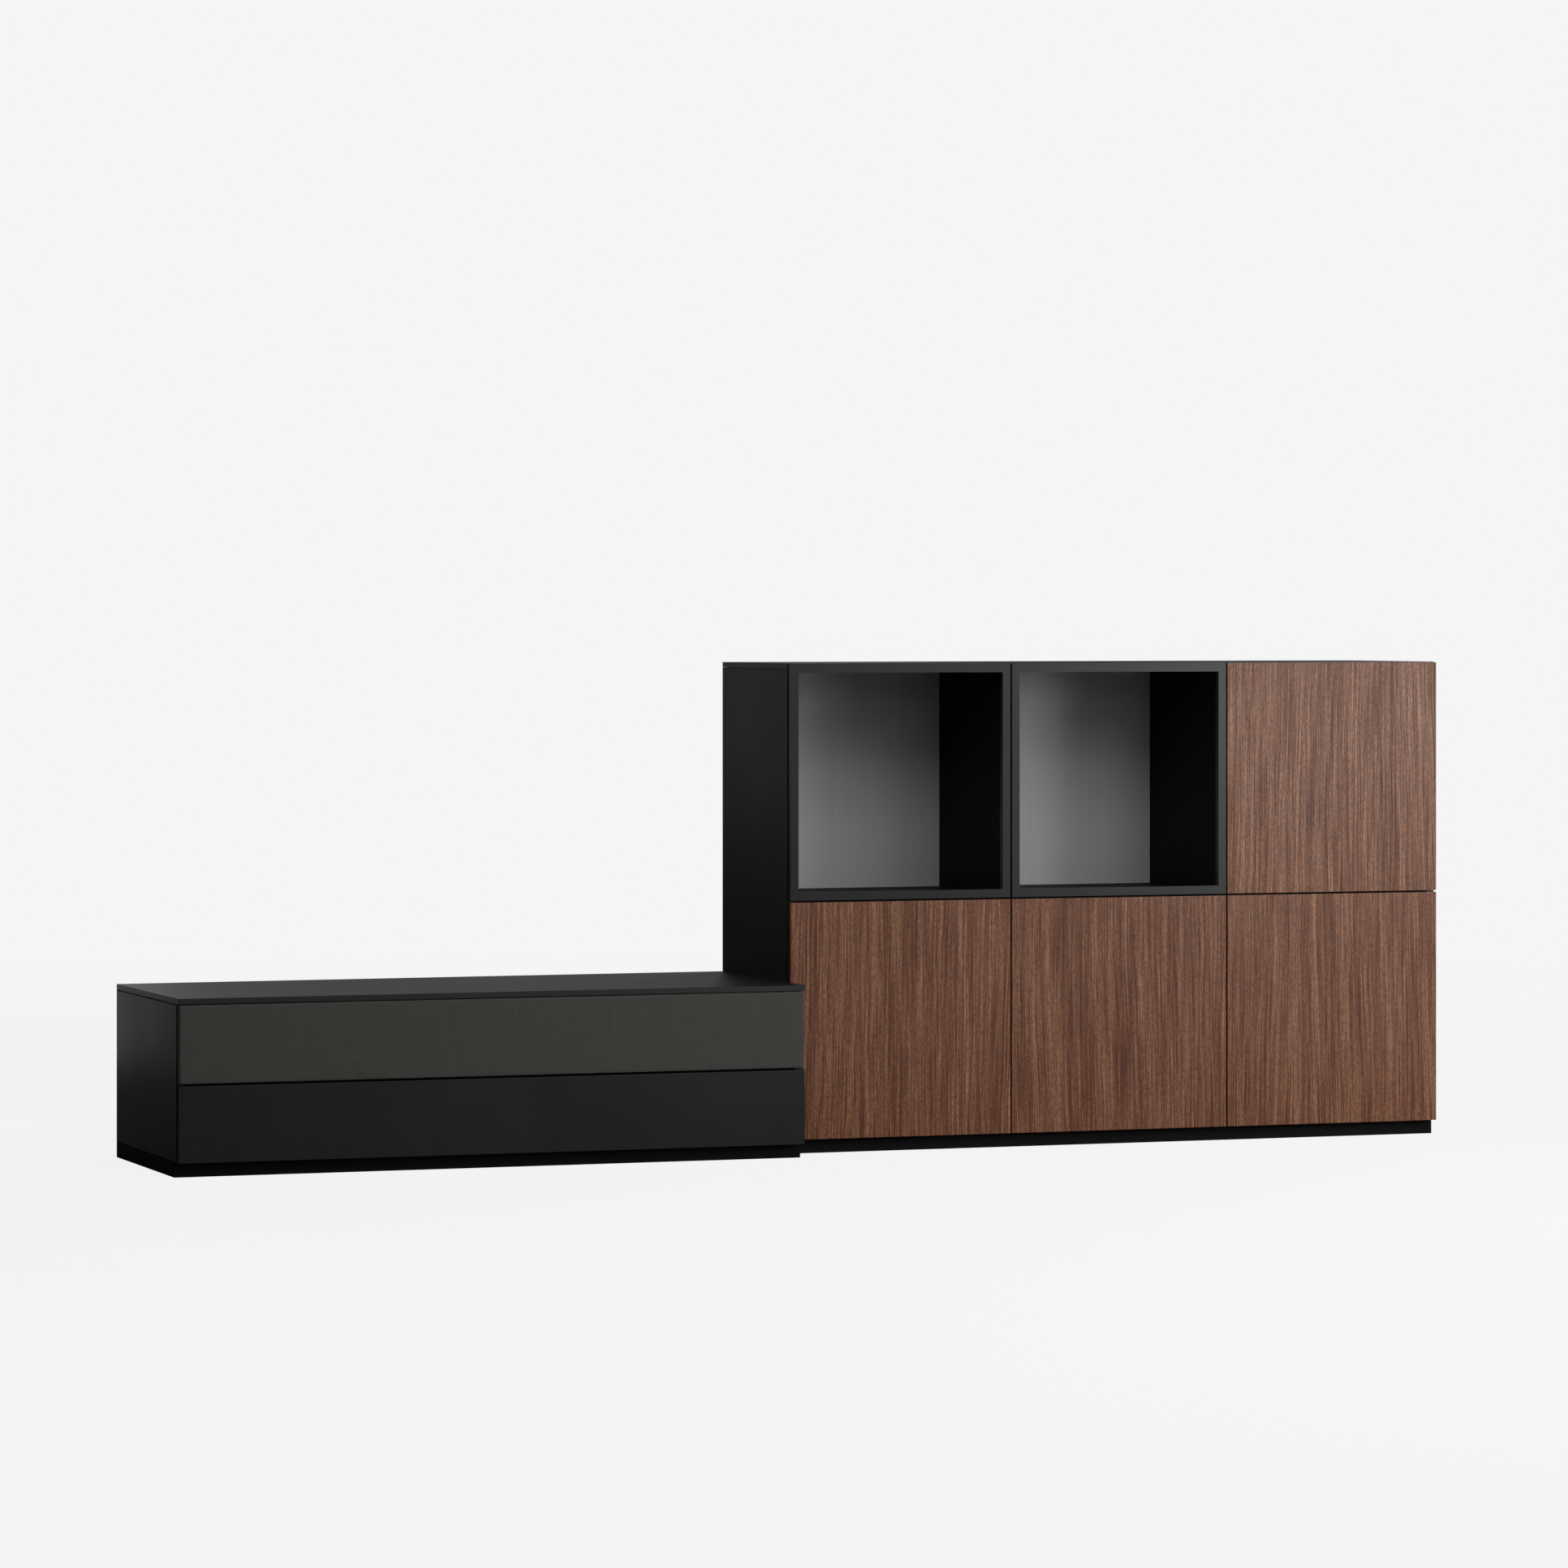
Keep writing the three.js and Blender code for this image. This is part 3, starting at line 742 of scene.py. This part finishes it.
def latch_screws(door):
    """The two screws through each push latch's ears."""
    low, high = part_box(f"latch_housing_{door}")
    seat = low.x + LATCH_SCREW["ear"] * MM
    middle = (low.z + high.z) / 2
    bm = bmesh.new()
    for side in (-1, 1):
        z = middle + side * LATCH_SCREW["z"] * MM
        place = Vector((seat, low.y + LATCH_SCREW["depth"] * MM, z))
        add_screw(bm, frame_at(place, (1, 0, 0)), 3.6, 1.1)
    made(f"latch_screws_{door}", bm, MATERIALS["steel"], "cabinets", "steel")


def bumper_pads(door):
    """Two grey self-adhesive pads, which keep the door off the carcass."""
    low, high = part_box(f"door_{door}")
    bm = bmesh.new()
    for z in (low.z + PAD["end"] * MM, high.z - PAD["end"] * MM):
        place = frame_at(Vector((low.x + PAD["edge"] * MM, high.y, z)), (0, 1, 0))
        add_lathe(bm, place, PAD["profile"], 24)
    made(f"bumper_pads_{door}", bm, MATERIALS["grey_plastic"], f"door_{door}", "grey_plastic")


# ---------------------------------------------------------------- drawer fittings


# The drawer-side runner member's section in mm, from the cabinet side: web, flanges, half height;
# and how far its ends stand back from the cabinet member's
MEMBER = {"web": (11.6, 12.8), "lip": 7.4, "half": 16.2, "sheet": 1.1, "ends": (1, 6)}
# Rows of bearing balls in mm: (from the cabinet side, from the runner's middle) of each row
BALLS = {"rows": ((5.8, 20.35), (8.4, 17.2)), "count": 14, "first": 24, "pitch": 9, "radius": 0.85}
# Screws of a drawer front: shares of the box's width and height, and its wall's thickness in mm
FRONT_SCREWS = {"across": (0.08, 0.36, 0.64, 0.92), "up": (0.35, 0.75), "wall": 12}


def member_section():
    inner, outer = MEMBER["web"]
    half, sheet, lip = MEMBER["half"], MEMBER["sheet"], MEMBER["lip"]
    return (
        (outer, -half),
        (outer, half),
        (lip, half),
        (lip, half - sheet),
        (inner, half - sheet),
        (inner, -half + sheet),
        (lip, -half + sheet),
        (lip, -half),
    )


def runner_sides(level):
    """The left and right runners' outer faces and the direction in which they face."""
    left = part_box(f"{level}_cabinet_runner_left")
    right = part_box(f"{level}_cabinet_runner_right")
    return (("left", left[0].x, 1, left), ("right", right[1].x, -1, right))


def drawer_members(level):
    """The members screwed to the drawer's sides, which run in the middle members."""
    for side, x, facing, (low, high) in runner_sides(level):
        middle = (low.z + high.z) / 2
        bm = bmesh.new()
        ends = (low.y + MEMBER["ends"][0] * MM, high.y - MEMBER["ends"][1] * MM)
        rings = [
            [Vector((x + facing * u * MM, y, middle + v * MM)) for u, v in member_section()]
            for y in ends
        ]
        add_rings(bm, rings)
        name = f"{level}_drawer_member_{side}"
        rounded(made(name, bm, MATERIALS["steel"], f"{level}_drawer", "steel", smooth=False), 0.2)


def add_ball(bm, place, radius, segments=10, bands=6):
    """A small ball of rings about Z, each pole closed by a tiny flat face."""
    turns = (math.pi * (i + 0.5) / bands for i in range(bands))
    profile = [(radius * math.sin(turn), -radius * math.cos(turn)) for turn in turns]
    add_lathe(bm, Matrix.Translation(place), profile, segments)


def ball_cages(level):
    """Rows of bearing balls that roll between the middle members and the outer channels."""
    bm = bmesh.new()
    for side, x, facing, (low, high) in runner_sides(level):
        middle = (low.z + high.z) / 2
        for u, reach in BALLS["rows"]:
            for v in (-reach, reach):
                for i in range(BALLS["count"]):
                    y = low.y + (BALLS["first"] + BALLS["pitch"] * i) * MM
                    place = Vector((x + facing * u * MM, y, middle + v * MM))
                    add_ball(bm, place, BALLS["radius"])
    made(f"{level}_runner_balls", bm, MATERIALS["steel"], f"{level}_middle_runners", "steel")


def front_screws(level):
    """The screws that hold a drawer's front, seen inside the box."""
    low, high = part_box(f"{level}_drawer_box")
    bm = bmesh.new()
    for share in FRONT_SCREWS["across"]:
        for height in FRONT_SCREWS["up"]:
            place = Vector((
                low.x + share * (high.x - low.x),
                low.y + FRONT_SCREWS["wall"] * MM,
                low.z + height * (high.z - low.z),
            ))
            add_screw(bm, frame_at(place, (0, 1, 0)), 3.8, 1.1)
    made(f"{level}_front_screws", bm, MATERIALS["steel"], f"{level}_drawer", "steel")


# ---------------------------------------------------------------- back panel fixings


# A wedge block in mm: its length, legs, thin edges, and its screw's place on the slope
BLOCK = {"length": 26, "leg": 13, "lip": 2, "screw": (8.2, 8.0)}
BLOCK_HEIGHTS = (0.16, 0.5, 0.84)  # shares of the back panel's height


def panel_block(blocks, screws, corner, along, towards):
    """A wedge block in the corner of a back panel and a board, with its screw."""
    length, leg = BLOCK["length"] * MM, BLOCK["leg"] * MM
    back = Vector((0, 1, 0))
    span = Vector(along) * length / 2
    inward = Vector(towards)
    section = [
        Vector((0, 0, 0)),
        inward * leg,
        inward * leg + back * BLOCK["lip"] * MM,
        inward * BLOCK["lip"] * MM + back * leg,
        back * leg,
    ]
    rings = [[corner + span * end + point for point in section] for end in (-1, 1)]
    add_rings(blocks, rings)
    across, behind = BLOCK["screw"]
    place = corner + inward * across * MM + back * behind * MM
    add_screw(screws, frame_at(place, inward + back, along), 3.4, 1.0)


def panel_blocks(prefix, columns):
    """Blocks behind a back panel, which hold it to the boards on all four sides."""
    low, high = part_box(f"{prefix}_back")
    blocks, screws = bmesh.new(), bmesh.new()
    for share in BLOCK_HEIGHTS:
        z = low.z + share * (high.z - low.z)
        for x, towards in ((low.x, (1, 0, 0)), (high.x, (-1, 0, 0))):
            panel_block(blocks, screws, Vector((x, high.y, z)), (0, 0, 1), towards)
    for i in range(columns):
        x = low.x + (i + 0.5) / columns * (high.x - low.x)
        for z, towards in ((low.z, (0, 0, 1)), (high.z, (0, 0, -1))):
            panel_block(blocks, screws, Vector((x, high.y, z)), (1, 0, 0), towards)
    plastic_block = made(
        f"{prefix}_back_blocks", blocks, MATERIALS["black_plastic"], "cabinets", "grey_plastic", smooth=False
    )
    rounded(plastic_block, 0.6)
    made(f"{prefix}_back_screws", screws, MATERIALS["steel"], "cabinets", "steel")


# ---------------------------------------------------------------- studio


def make_camera():
    data = bpy.data.cameras.new("camera")
    data.lens = CAMERA_LENS
    data.sensor_width = CAMERA_SENSOR
    data.sensor_fit = "HORIZONTAL"
    data.shift_y = CAMERA_SHIFT_Y
    data.clip_end = 200.0
    camera = bpy.data.objects.new("camera", data)
    bpy.context.scene.collection.objects.link(camera)
    left_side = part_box("tall_left_side")[0].x
    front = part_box("open_frame_left")[0].y
    camera.location = Vector((left_side, front, 0)) + CAMERA_OFFSET
    camera.rotation_euler = (math.pi / 2, 0, CAMERA_YAW)
    bpy.context.scene.camera = camera


def make_world():
    """A plain backdrop to the camera, and a dim even studio to everything else."""
    world = bpy.data.worlds.new("studio")
    bpy.context.scene.world = world
    world.use_nodes = True
    tree = world.node_tree
    shown = tree.nodes["Background"]
    shown.inputs["Color"].default_value = (BACKDROP, BACKDROP, BACKDROP, 1)
    dim = tree.nodes.new("ShaderNodeBackground")
    dim.inputs["Color"].default_value = (1, 1, 1, 1)
    dim.inputs["Strength"].default_value = WORLD
    path = tree.nodes.new("ShaderNodeLightPath")
    mix = tree.nodes.new("ShaderNodeMixShader")
    tree.links.new(path.outputs["Is Camera Ray"], mix.inputs["Fac"])
    tree.links.new(dim.outputs[0], mix.inputs[1])
    tree.links.new(shown.outputs[0], mix.inputs[2])
    tree.links.new(mix.outputs[0], tree.nodes["World Output"].inputs["Surface"])


def make_floor():
    """A pale floor that runs into the backdrop, with soft contact shadows near the object."""
    bm = bmesh.new()
    bmesh.ops.create_grid(bm, x_segments=1, y_segments=1, size=FLOOR_HALF)
    mesh = bpy.data.meshes.new("floor")
    bm.to_mesh(mesh)
    bm.free()
    floor = bpy.data.objects.new("floor", mesh)
    bpy.context.scene.collection.objects.link(floor)
    mesh.materials.append(floor_material())


def floor_material():
    s = Shader("pale_floor")
    s.tree.nodes.remove(s.principled)
    far = s.emission(BACKDROP)
    near = s.node("ShaderNodeAddShader")
    s.put(near.inputs[0], s.emission(FLOOR_GLOW))
    s.put(near.inputs[1], s.diffuse(FLOOR_TONE))
    distance = s.node("ShaderNodeVectorMath", operation="LENGTH")
    s.put(distance.inputs[0], s.coords)
    fade = s.node("ShaderNodeMapRange", interpolation_type="SMOOTHSTEP")
    s.put(fade.inputs["Value"], distance.outputs["Value"])
    fade.inputs["From Min"].default_value, fade.inputs["From Max"].default_value = FLOOR_FADE
    shown = s.mix_shader(fade.outputs[0], near.outputs[0], far)
    path = s.node("ShaderNodeLightPath").outputs["Is Camera Ray"]
    whole = s.mix_shader(path, s.diffuse(FLOOR_BOUNCE), shown)
    s.put(s.tree.nodes["Material Output"].inputs["Surface"], whole)
    return s.material


def area_light(name, place, target, width, height, power):
    data = bpy.data.lights.new(name, "AREA")
    data.shape = "RECTANGLE"
    data.size = width
    data.size_y = height
    data.energy = power
    light = bpy.data.objects.new(name, data)
    bpy.context.scene.collection.objects.link(light)
    light.location = place
    light.rotation_euler = (Vector(target) - Vector(place)).to_track_quat("-Z", "Y").to_euler()
    light.visible_camera = False


def make_studio():
    make_camera()
    make_world()
    make_floor()
    for light in LIGHTS:
        area_light(*light)
    bpy.context.scene.view_settings.view_transform = "Standard"


# ---------------------------------------------------------------- the object


def make_pieces():
    fabric_cover()
    for door in DOORS:
        cup_screws(door)
        arm_screws(door)
        hinge_links(door)
        latch_screws(door)
        bumper_pads(door)
    for level in ("upper", "lower"):
        drawer_members(level)
        ball_cages(level)
        front_screws(level)
    panel_blocks("tall", 4)
    panel_blocks("bench", 3)


paint_nodes()
soften_edges()
make_pieces()
make_studio()
